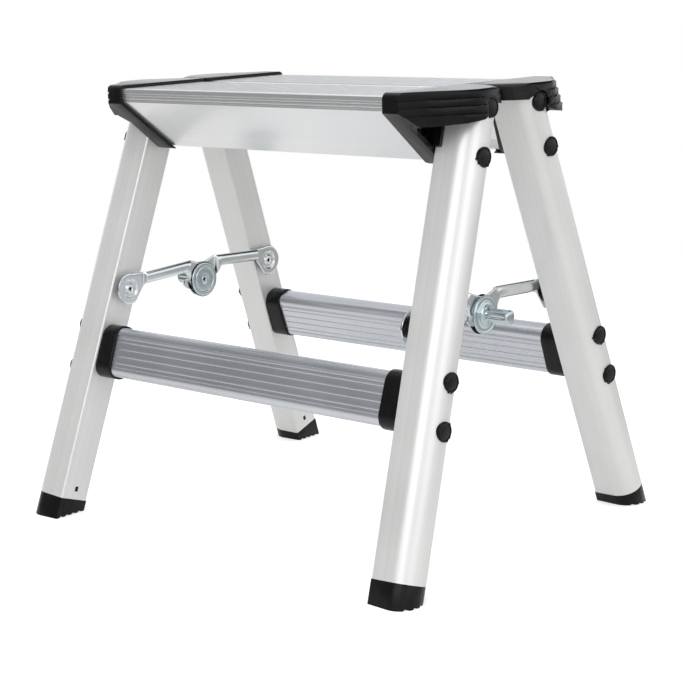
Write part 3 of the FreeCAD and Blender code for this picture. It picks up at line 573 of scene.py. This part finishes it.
def treadOutline(shape):
    # side view from the joint along the ridged deck, round the nose, down the skirt and back; foot,
    # crest, edge and fold are the corners' radii, and heights are drops below the deck
    deck = stance["deck"]
    floor = deck - shape["ridgeHeight"]
    foot, crest, edge, fold = shape["foot"], shape["crest"], shape["edge"], shape["fold"]
    nose, back = shape["nose"], shape["nose"] - shape["recess"]
    width, slope = shape["ridgeWidth"], shape["ridgeSlope"]
    points = [(shape["joint"], floor, 0)]
    for reach in np.arange(shape["ridgeStart"], nose - 3 * width, shape["ridgePitch"]):
        points += [(reach, floor, foot), (reach + slope, deck, crest), (reach + width - slope, deck, crest),
                   (reach + width, floor, foot)]
    points += [(nose - shape["lip"][0], floor, crest), (nose - shape["lip"][1], deck, edge),
               (nose, deck, shape["noseRound"]), (nose, deck - shape["noseFlat"][0], edge),
               (back, deck - shape["noseFlat"][1], crest)]
    top, base = shape["beadHalf"]
    for drop in shape["beads"]:
        points += [(back, deck - drop + base, foot), (nose, deck - drop + top, edge),
                   (nose, deck - drop - top, edge), (back, deck - drop - base, foot)]
    drop, bed = shape["groove"], back - shape["grooveDepth"]
    low, high = shape["grooveHalf"]
    points += [(back, deck - drop + high, foot), (bed, deck - drop + low, 0.1),
               (bed, deck - drop - low, 0.1), (back, deck - drop - high, foot),
               (back, deck - shape["noseBand"], fold)]
    points += [(reach, deck - drop, fold) for reach, drop in (shape["skirt"], shape["hem"])]
    points += [(reach, deck - drop, turn) for reach, drop, turn in shape["underside"]]
    return outline(points, 4)


def makeTread(end, mirror, shape=treadShape):
    # the outline drawn along X from end to end
    section = treadOutline(shape)
    x = np.linspace(-shape["halfLength"], shape["halfLength"], shape["rows"])[:, None]
    rings = np.stack(np.broadcast_arrays(x, -section[:, 0], section[:, 1]), -1)
    piece = joined("%s_tread_skin" % end, [tube(rings)], treadMetal, mirror, 50)
    dressed(piece, "%s_tread" % end)


for end, way in (("front", 1), ("rear", -1)):
    makeTread(end, (1, way))
print("treads are in")

collarShape = {
    "wallWidth": 2.0,
    "wallDepth": 2.3,
    "rounder": 4.3,
    "rim": 1.4,
    "rimSteps": 6,
    "innerX": 162.0,
    "middleX": 170.0,
    "arcSteps": 10,
}


def makeCollar(end, side, mirror, shape=collarShape, bar=rungShape):
    # rounded outline run along X to the leg's leaning wall; over the rim it is inset by
    # rim * (1 - sin turn) at a step of rim * (1 - cos turn)
    width, depth = bar["width"] / 2 + shape["wallWidth"], bar["depth"] / 2 + shape["wallDepth"]
    corner = bar["corner"] + shape["rounder"]
    base = outline([(-depth, -width, corner), (depth, -width, corner), (depth, width, corner),
                    (-depth, width, corner)], shape["arcSteps"])
    turn = np.linspace(0, math.pi / 2, shape["rimSteps"])
    lip = shape["innerX"] + shape["rim"] * (1 - np.cos(turn))
    steps = np.concatenate([lip, [shape["middleX"]] * 2])[:, None]
    inset = np.concatenate([shape["rim"] * (1 - np.sin(turn)), [0, 0]])[:, None]
    scaleA, scaleB = 1 - inset / depth, 1 - inset / width
    faceX = stance["innerFootX"] - math.tan(math.radians(stance["splay"])) * (base[:, 1] + bar["line"])
    x = np.broadcast_to(steps, (len(steps), len(base))).copy()
    x[-1] = faceX
    rings = np.stack([x, base[:, 0] * scaleA, base[:, 1] * scaleB + bar["line"]], -1)
    piece = joined("%s_%s_collar_skin" % (end, side), [tube(inFrame(rings))], plastic, mirror)
    dressed(piece, "%s_%s_rung_collar" % (end, side))


for corner in corners:
    makeCollar(*corner)
print("collars are in")

plugShape = {
    "radius": 8.5,
    "rise": 1.8,
    "depth": 6.0,
    "spots": (384.0, 344.9, 170.6, 132.9),
    "face": ((0.05, 0.1), (3.0, 0.15), (5.4, 0.35), (6.5, 0.65), (6.8, 0.75), (7.0, 0.6), (7.2, 0.1),
             (7.5, 0.0), (7.9, 0.15), (8.35, 0.55), (8.5, 1.0)),
    "nibs": ((2.3, 1.2), (2.75, 0.9), (4.3, 1.0)),
    "nibTurn": 0.9,
    "nibWidth": 0.09,
    "rimRow": 7,
    "count": 72,
}


def legSpot(z, shape=stance, depth=legShape["depth"]):
    # reach of the leg's middle line and x of its outer crest at a height
    lean, spread = math.radians(shape["tilt"]), math.tan(math.radians(shape["splay"]))
    return (shape["footReach"] - math.tan(lean) * z,
            shape["innerFootX"] - spread * z / math.cos(lean) + depth)


def makePlugs(end, side, mirror, shape=plugShape):
    # domed cover with a shallow ring inside its rim; the rim's radius is
    # radius + sum of size * exp(-(angle from the nib / width) ^ 2)
    radius, rise = shape["radius"], shape["rise"]
    profile = [(reach, rise - drop) for reach, drop in shape["face"]] + [(radius, -shape["depth"])]
    tubes = []
    for k, z in enumerate(shape["spots"]):
        def wobble(angle, k=k):
            lift = 0
            for spot, size in shape["nibs"]:
                away = (angle - spot - k * shape["nibTurn"] + math.pi) % (2 * math.pi) - math.pi
                lift = lift + size * np.exp(-(away / shape["nibWidth"]) ** 2)
            return 1 + lift / radius
        reach, x = legSpot(z)
        rings = lathe(profile, shape["count"])
        rings[shape["rimRow"]:] = lathe(profile, shape["count"], wobble)[shape["rimRow"]:]
        tubes.append(tube(rings + np.array((x, -reach, z))))
    piece = joined("%s_%s_plug_covers" % (end, side), tubes, plastic, mirror)
    dressed(piece, "%s_%s_plugs" % (end, side))


for corner in corners:
    makePlugs(*corner)
print("plugs are in")

for end, side, mirror in corners:
    softened("%s_%s_cap" % (end, side), softShape["capEdge"])
    softened("%s_%s_foot" % (end, side), softShape["footEdge"])
print("caps and feet are in")

armShape = {
    "eyeReach": 97.03,
    "eyeZ": 208.04,
    "pivotZ": 203.04,
    "outerX": {"rear": 172.94, "front": 171.09},
    "plate": 1.7,
    "tubeDepth": 6.0,
    "eyeRadius": 15.0,
    "pivotRadius": 15.0,
    "tubeHalf": 5.6,
    "tubeStart": (19.0, 9.0),
    "tubeEnd": (19.8, 14.8),
    "eyeTop": (3.0, 14.7),
    "eyeHeel": (7.0, -13.2),
    "lugTop": (6.0, 13.7),
    "lugHeel": (-7.5, -12.9),
    "lugPinch": 0.6,
    "flankStart": (2.0, 1.0),
    "flankEnd": (1.0, 6.0),
    "rollRun": 3.0,
    "rollPast": 2.0,
    "flatPower": 16.0,
    "roundPower": 3.0,
    "dishRadius": 9.2,
    "dishRun": 1.2,
    "dishDepth": 1.35,
    "stopTab": ((8, -9, 2), (20, -6, 2), (25, -2, 2), (23, 3, 2), (8, 4, 2)),
    "tabStep": 0.2,
    "poleAngle": 0.02,
    "endSteps": 30,
    "lengthSteps": 170,
    "ribSteps": 49,
}


def armPlace(x, a, b, shape=armShape):
    # a runs from the eye to the pivot, b square to it
    span = math.hypot(shape["eyeReach"], shape["eyeZ"] - shape["pivotZ"])
    runY, runZ = shape["eyeReach"] / span, (shape["pivotZ"] - shape["eyeZ"]) / span
    return np.stack(np.broadcast_arrays(x, a * runY - b * runZ - shape["eyeReach"],
                                        shape["eyeZ"] + a * runZ + b * runY), -1)


def armFlanks(a, span, shape):
    # upper and lower edge along the arm: round eye, straight flank, tube, straight flank, round lug
    startA, startB = shape["tubeStart"]
    endA, endB = span - shape["tubeEnd"][0], shape["tubeEnd"][1]
    half = shape["tubeHalf"]
    line = np.interp(a, [startA, endA], [startB, endB])
    eye = np.sqrt(np.clip(shape["eyeRadius"] ** 2 - a ** 2, 0, None))
    lug = np.sqrt(np.clip(shape["pivotRadius"] ** 2 - (a - span) ** 2, 0, None))
    fromA, fromB = shape["eyeTop"]
    toA, toB = span + shape["lugTop"][0], shape["lugTop"][1]
    leave, land = startA - shape["flankStart"][0], endA + shape["flankEnd"][0]
    upper = np.where(a < leave, np.interp(a, [fromA, leave], [fromB, startB + half]), line + half)
    upper = np.where(a < fromA, eye, upper)
    upper = np.where(a > land, np.interp(a, [land, toA], [endB + half, toB]), upper)
    upper = np.where(a > toA, lug, upper)
    fromA, fromB = shape["eyeHeel"]
    toA, toB = span + shape["lugHeel"][0], shape["lugHeel"][1]
    leave, land = startA - shape["flankStart"][1], endA - shape["flankEnd"][1]
    lower = np.where(a < leave, np.interp(a, [fromA, leave], [fromB, startB - half]), line - half)
    lower = np.where(a < fromA, -eye, lower)
    lower = np.where(a > land, np.interp(a, [land, toA], [endB - half - shape["lugPinch"], toB]), lower)
    lower = np.where(a > toA, -lug, lower)
    return upper, lower


def makeArm(end, side, mirror, shape=armShape):
    # plate with a round eye and lug, rolled into a tube between them: each cross-section is
    # |s| ^ n + |x| ^ 2 = 1, with n falling from the flat power on the plate to the round one on the tube;
    # the dish and the roll ease in by 3 t ^ 2 - 2 t ^ 3
    outer, plate = shape["outerX"][end], shape["plate"]
    span = math.hypot(shape["eyeReach"], shape["eyeZ"] - shape["pivotZ"])
    quarter = np.linspace(shape["poleAngle"], math.pi / 2, shape["endSteps"])
    a = np.concatenate([-shape["eyeRadius"] * np.cos(quarter), np.linspace(0, span, shape["lengthSteps"])[1:],
                        span + shape["pivotRadius"] * np.cos(quarter[::-1])[1:]])
    upper, lower = armFlanks(a, span, shape)
    tubeStart, tubeEnd = shape["tubeStart"][0], span - shape["tubeEnd"][0]
    rolled = (np.clip((a - tubeStart + shape["rollRun"]) / shape["rollRun"], 0, 1) *
              np.clip((tubeEnd + shape["rollPast"] - a) / shape["rollRun"], 0, 1))
    rolled = (rolled ** 2 * (3 - 2 * rolled))[:, None]
    thick = (plate + (shape["tubeDepth"] - plate) * rolled) / 2
    s = np.sin(np.linspace(-math.pi / 2, math.pi / 2, shape["ribSteps"]))
    power = shape["flatPower"] - (shape["flatPower"] - shape["roundPower"]) * rolled
    bulge = np.clip(1 - np.abs(s) ** power, 0, 1) ** 0.5
    b = (upper + lower)[:, None] / 2 + (upper - lower)[:, None] / 2 * s
    dish = np.clip((shape["dishRadius"] - np.hypot(a[:, None], b)) / shape["dishRun"], 0, 1)
    front = outer - thick - thick * bulge + shape["dishDepth"] * dish ** 2 * (3 - 2 * dish)
    back = outer - thick + thick * bulge
    x = np.concatenate([front, back[:, -2:0:-1]], 1)
    b = np.concatenate([b, b[:, -2:0:-1]], 1)
    tubes = [tube(armPlace(x, a[:, None], b))]
    if end == "rear":
        tab = outline(shape["stopTab"], 4)
        levels = np.array((outer - plate, outer - shape["tabStep"], outer))[:, None]
        tubes.append(tube(armPlace(levels, span + tab[:, 0], tab[:, 1])))
    piece = joined("%s_%s_arm_skin" % (end, side), tubes, armZinc, mirror, 45)
    dressed(piece, "%s_%s_arm" % (end, side))


for corner in corners:
    makeArm(*corner)
print("spreader arms are in")

rivetShape = {
    "profile": ((0.05, 4.0), (1.45, 4.0), (1.6, 0.6), (1.9, 0.0), (2.6, -0.55), (3.4, -0.6), (4.3, -0.3),
                (5.0, 0.3), (5.5, 1.0), (5.6, 1.5), (2.0, 4.2), (0.05, 4.2)),
    # a black disc inside the rivet's hollow, painted shade in the hole
    "bore": ((0.05, 0.7), (1.52, 0.7), (1.5, 1.2), (0.05, 1.2)),
    "count": 40,
    "boreCount": 24,
}

discShape = {
    "face": 167.84,
    "profile": ((0.05, 2.4), (1.4, 2.4), (1.5, 0.4), (1.8, -0.2), (2.5, -0.55), (3.2, -0.5), (3.7, -0.1),
                (3.9, 0.2), (4.3, 0.15), (5.0, 0.0), (10.8, 0.0), (11.3, 0.08), (11.6, 0.4), (12.1, 0.4),
                (12.5, -0.1), (13.0, -0.25), (14.4, -0.2), (15.6, -0.25), (16.3, -0.05), (16.75, 0.4),
                (16.8, 0.9), (16.5, 1.3), (3.0, 1.35), (2.0, 2.6), (0.05, 2.6)),
    # a black ring behind the disc's rim, painted shade on the disc's side
    "rimShade": ((4.5, 0.75), (17.3, 0.75), (17.45, 1.0), (17.3, 1.38), (4.5, 1.38)),
    # a black disc in the centre hole, painted shade in the hole
    "bore": ((0.05, 0.5), (1.46, 0.5), (1.44, 1.0), (0.05, 1.0)),
    "count": 64,
    "boreCount": 24,
}

pinShape = {
    "profile": ((0.05, 170.6), (3.9, 170.6), (3.9, 172.95), (16.5, 172.95), (17.0, 173.2), (17.05, 173.6),
                (16.8, 173.75), (16.85, 173.95), (17.0, 174.2), (16.7, 174.6), (16.0, 174.75), (15.3, 174.5),
                (14.3, 174.2), (12.6, 174.15), (11.6, 174.5), (10.8, 175.0), (9.8, 175.1), (8.8, 175.3),
                (7.6, 176.4), (6.9, 178.4), (6.55, 180.5), (6.5, 181.0), (6.5, 192.0), (6.5, 196.4),
                (6.5, 198.6), (6.1, 199.7), (5.2, 200.2), (0.05, 200.3)),
    "count": 96,
    "fluted": (20, 24),
    "flutes": 6,
    "fluteDepth": 0.16,
}


def makeRivet(end, side, mirror, shape=rivetShape, arm=armShape):
    # ring-shaped head in the dished eye, a profile turned about X, with a black disc set inside its bore as
    # painted shade in the hole
    place = np.array((arm["outerX"][end] - arm["plate"], -arm["eyeReach"], arm["eyeZ"]))
    head = lathe(shape["profile"], shape["count"]) + place
    piece = joined("%s_%s_rivet_head" % (end, side), [tube(head)], armZinc, mirror)
    dressed(piece, "%s_%s_rivet" % (end, side))
    # painted shade: a black disc inside the rivet's bore stands for the shade in the hole
    bore = lathe(shape["bore"], shape["boreCount"]) + place
    piece = joined("%s_%s_rivet_bore_shade" % (end, side), [tube(bore)], plastic, mirror)
    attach(piece, "rear_frame" if end == "rear" else "front_%s_arm" % side)


def makePivot(side, way, disc=discShape, pin=pinShape, arm=armShape):
    # cover disc with its pressed ring, a black ring behind its rim as painted shade on the disc's side, a
    # black disc in its centre hole as painted shade, and the pin with its dished washer, all turned
    # about X; the pin's grip is fluted: radius * (1 - depth * (0.5 + 0.5 cos(flutes * angle)) ^ 2)
    middle = np.array((0, 0, arm["pivotZ"]))
    face = middle + np.array((disc["face"], 0, 0))
    plate = tube(lathe(disc["profile"], disc["count"]) + face)
    piece = joined(side + "_disc_face", [plate], zinc, (way, 1), 50)
    dressed(piece, side + "_pivot_disc")
    # painted shade: the black ring darkens the disc's side
    loop = tube(lathe(disc["rimShade"] + disc["rimShade"][:1], disc["count"]) + face, False)
    rimShade = joined(side + "_disc_liner", [loop], plastic, (way, 1))
    # painted shade: a black disc in the disc's centre hole stands for the shade in it
    plug = tube(lathe(disc["bore"], disc["boreCount"]) + face)
    bore = joined(side + "_disc_bore_shade", [plug], plastic, (way, 1))
    for dark in (rimShade, bore):
        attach(dark, "rear_%s_arm" % side)
    rings = lathe(pin["profile"], pin["count"])
    angle = np.linspace(0, 2 * math.pi, pin["count"], endpoint=False)
    cut = 1 - pin["fluteDepth"] * (0.5 + 0.5 * np.cos(pin["flutes"] * angle)) ** 2
    first, last = pin["fluted"]
    rings[first:last, :, 1:] *= cut[None, :, None]
    piece = joined(side + "_pin_skin", [tube(rings + middle)], zinc, (way, 1), 50)
    dressed(piece, side + "_pivot_pin")


for corner in corners:
    makeRivet(*corner)
for side, way in (("left", -1), ("right", 1)):
    makePivot(side, way)
print("rivets and pivots are in")

latchShape = {
    "width": 3.7,
    "low": 22.6,
    "high": 27.4,
    "proud": 0.12,
    "round": 0.5,
    "depth": 1.0,
    "chamfer": 0.1,
    "faceScale": 0.9,
}


def makeLatch(end, side, mirror, shape=latchShape):
    # the foot's catch in its hole through the leg's inner wall: a rounded black block, narrower at its face;
    # as the leg skin has no hole, the block's black face is also painted shade for the dark hole
    half, turn = shape["width"] / 2, shape["round"]
    flat = outline([(-half, shape["low"], turn), (half, shape["low"], turn), (half, shape["high"], turn),
                    (-half, shape["high"], turn)], 4)
    levels = np.array((shape["depth"], shape["chamfer"] - shape["proud"], -shape["proud"]))[:, None]
    scale = np.array((1.0, 1.0, shape["faceScale"]))[:, None]
    middle = (shape["low"] + shape["high"]) / 2
    up = (flat[:, 1] - middle) * scale + middle
    rings = np.stack(np.broadcast_arrays(levels, flat[:, 0] * scale, up), -1)
    # partly painted shade: the black block is the catch and also stands for the dark of the hole around it
    piece = joined("%s_%s_foot_catch_hole_shade" % (end, side), [tube(inLeg(rings))], plastic, mirror)
    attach(piece, end + "_frame")


for corner in corners:
    makeLatch(*corner)
print("foot catches are in")

cameraSetup = {
    "place": (1.036687, -1.187629, 0.491800),
    "azimuth": 40.88,
    "elevation": 11.92,
    "roll": -1.68,
    "focalPixels": 1729.61,
    "frame": 683,
    "sensor": 36.0,
    "farthest": 50.0,
}


def makeCamera(setup):
    # looks along its azimuth and elevation, rolled about that line; lens is focal pixels * sensor / frame
    azimuth, elevation, roll = (math.radians(setup[key]) for key in ("azimuth", "elevation", "roll"))
    back = Vector((math.sin(azimuth) * math.cos(elevation), -math.cos(azimuth) * math.cos(elevation),
                   math.sin(elevation)))
    level = Vector((math.cos(azimuth), math.sin(azimuth), 0))
    up = back.cross(level)
    right = level * math.cos(roll) + up * math.sin(roll)
    above = up * math.cos(roll) - level * math.sin(roll)
    data = bpy.data.cameras.new("camera")
    data.sensor_width = setup["sensor"]
    data.lens = setup["focalPixels"] * setup["sensor"] / setup["frame"]
    data.clip_end = setup["farthest"]
    camera = bpy.data.objects.new("camera", data)
    bpy.context.scene.collection.objects.link(camera)
    turn = Matrix((right, above, back)).transposed().to_4x4()
    camera.matrix_world = Matrix.Translation(Vector(setup["place"])) @ turn
    bpy.context.scene.camera = camera


makeCamera(cameraSetup)

stageSetup = {
    "skyLow": 0.6,
    "skyHigh": 0.85,
    "skySpan": (-0.1, 0.9),
    "floorColour": 0.8,
    "floorRough": 0.85,
    "floorMottle": 0.05,
    "floorSpots": 60.0,
    "floorHalf": 6000.0,
    "floorDepth": 20.0,
    "cameraLift": 0.5,
    "glossLift": 0.08,
    "gloss": 1.0,
    "floorGloss": 0.76,
    "floorWarm": (1.0, 0.985, 0.965),
    "skyCool": (0.96, 0.98, 1.0),
    "ceiling": 0.5,
    "ceilingSpan": (0.35, 0.75),
    "darkWay": (-0.70, -0.68, 0.2),
    "darkLevel": 0.22,
    "darkSpan": (0.5, 0.95),
    "darkFloor": (0.7, 1.5),
    "stripeWay": (0.10, 0.73, 0.675),
    "stripeLevel": 0.05,
    "stripeSpan": (0.74, 0.9),
    "backWay": (0.65, 0.76, 0.0),
    "backLevel": 0.4,
    "backSpan": (0.35, 0.9),
    "fade": (0.75, 1.5),
    "glossFade": (0.1, 0.6),
}


def makeFloor(setup):
    # pale floor that keeps the object's shadow, full white for the eye far out; glossy rays see it a
    # little dimmer, darker behind, and dark towards the studio's unlit corner
    paint = Paint("floor_paint", setup["floorRough"], 0.0, 0.1)
    paths = paint.node("ShaderNodeLightPath", {}, {})
    eye = (paths.part("Is Camera Ray") + paths.part("Is Transmission Ray")).clamp()
    gloss = paths.part("Is Glossy Ray")
    paint.shader.inputs["Base Color"].default_value = (*[setup["floorColour"]] * 3, 1)
    paint.feed("Roughness", paint.noise(setup["floorSpots"]) * setup["floorMottle"] + setup["floorRough"])
    corner = paint.eased(paint.along(paint.place, (*setup["darkWay"][:2], 0)), *setup["darkFloor"])
    far = paint.node("ShaderNodeVectorMath", {"operation": "LENGTH"}, {0: paint.place}).part("Value")
    behind = paint.eased(paint.along(paint.place, setup["backWay"]), *setup["backSpan"])
    fade = paint.eased(far, *setup["fade"]) * eye + paint.eased(far, *setup["glossFade"]) * gloss
    shine = setup["floorGloss"] - corner * (setup["floorGloss"] - setup["darkLevel"])
    bright = eye + gloss * (shine - behind * (setup["floorGloss"] - setup["backLevel"]))
    warm = paint.tint(gloss, (1, 1, 1), setup["floorWarm"])
    glow = paint.tint(eye * setup["cameraLift"] + gloss * setup["glossLift"], (0, 0, 0), (1, 1, 1))
    lift = paint.node("ShaderNodeEmission", {}, {"Color": glow})
    plain = paint.node("ShaderNodeEmission", {}, {"Color": paint.tint(bright, (0, 0, 0), warm)})
    near = paint.node("ShaderNodeAddShader", {}, {0: paint.surface, 1: lift})
    whole = paint.node("ShaderNodeMixShader", {}, {0: fade.clamp(), 1: near, 2: plain})
    paint.tree.links.new(whole.out, paint.tree.nodes["Material Output"].inputs["Surface"])
    half = setup["floorHalf"]
    square = np.array([(-half, -half, 0), (half, -half, 0), (half, half, 0), (-half, half, 0)])
    slab = np.stack([square, square - (0, 0, setup["floorDepth"])])
    joined("floor", [tube(slab)], paint.material)


def makeWorld(setup):
    # soft studio, brighter above; the eye sees plain white, and glossy rays see white with a dimmer
    # ceiling, one dark corner and one dark stripe
    world = bpy.data.worlds.new("studio")
    studio = Graph(world)
    way = studio.node("ShaderNodeTexCoord", {}, {}).part("Generated")
    paths = studio.node("ShaderNodeLightPath", {}, {})
    eye = (paths.part("Is Camera Ray") + paths.part("Is Transmission Ray")).clamp()
    gloss = paths.part("Is Glossy Ray")
    rise = studio.eased(studio.along(way, (0, 0, 1)), *setup["skySpan"])
    sky = setup["skyLow"] + rise * (setup["skyHigh"] - setup["skyLow"])
    corner = studio.eased(studio.along(way, setup["darkWay"]), *setup["darkSpan"])
    above = studio.eased(studio.along(way, (0, 0, 1)), *setup["ceilingSpan"])
    shine = setup["gloss"] - above * (setup["gloss"] - setup["ceiling"])
    shine = shine * (1 - corner) + corner * setup["darkLevel"]
    stripe = studio.eased(studio.along(way, setup["stripeWay"]), *setup["stripeSpan"])
    shine = shine * (1 - stripe) + stripe * setup["stripeLevel"]
    level = sky + gloss * (shine - sky)
    level = level + eye * (1 - level)
    cool = studio.tint(gloss, (1, 1, 1), setup["skyCool"])
    light = studio.node("ShaderNodeBackground", {}, {"Color": studio.tint(level, (0, 0, 0), cool)})
    studio.node("ShaderNodeOutputWorld", {}, {"Surface": light})
    bpy.context.scene.world = world


lampSetup = {
    "right_softbox": ((2.2, -0.4, 1.3), (0.1, 0, 0.2), (1.6, 1.6), 7),
    "front_softbox": ((0.2, -2.6, 1.5), (0, 0, 0.2), (2.0, 1.4), 16),
    "top_softbox": ((-0.3, 0.3, 2.4), (0, 0, 0.2), (2.2, 2.2), 12),
}


def makeLamp(name, place, aim, size, power):
    # rectangular area lamp at a place, turned to its aim; size in metres, power in watts
    data = bpy.data.lights.new(name, "AREA")
    data.shape = "RECTANGLE"
    data.size, data.size_y = size
    data.energy = power
    lamp = bpy.data.objects.new(name, data)
    turn = (Vector(aim) - Vector(place)).to_track_quat("-Z", "Y")
    lamp.matrix_world = Matrix.Translation(Vector(place)) @ turn.to_matrix().to_4x4()
    bpy.context.scene.collection.objects.link(lamp)


makeFloor(stageSetup)
makeWorld(stageSetup)
for name, values in lampSetup.items():
    makeLamp(name, *values)
bpy.context.scene.view_settings.view_transform = "Standard"
print("stage, lamps and camera are in")
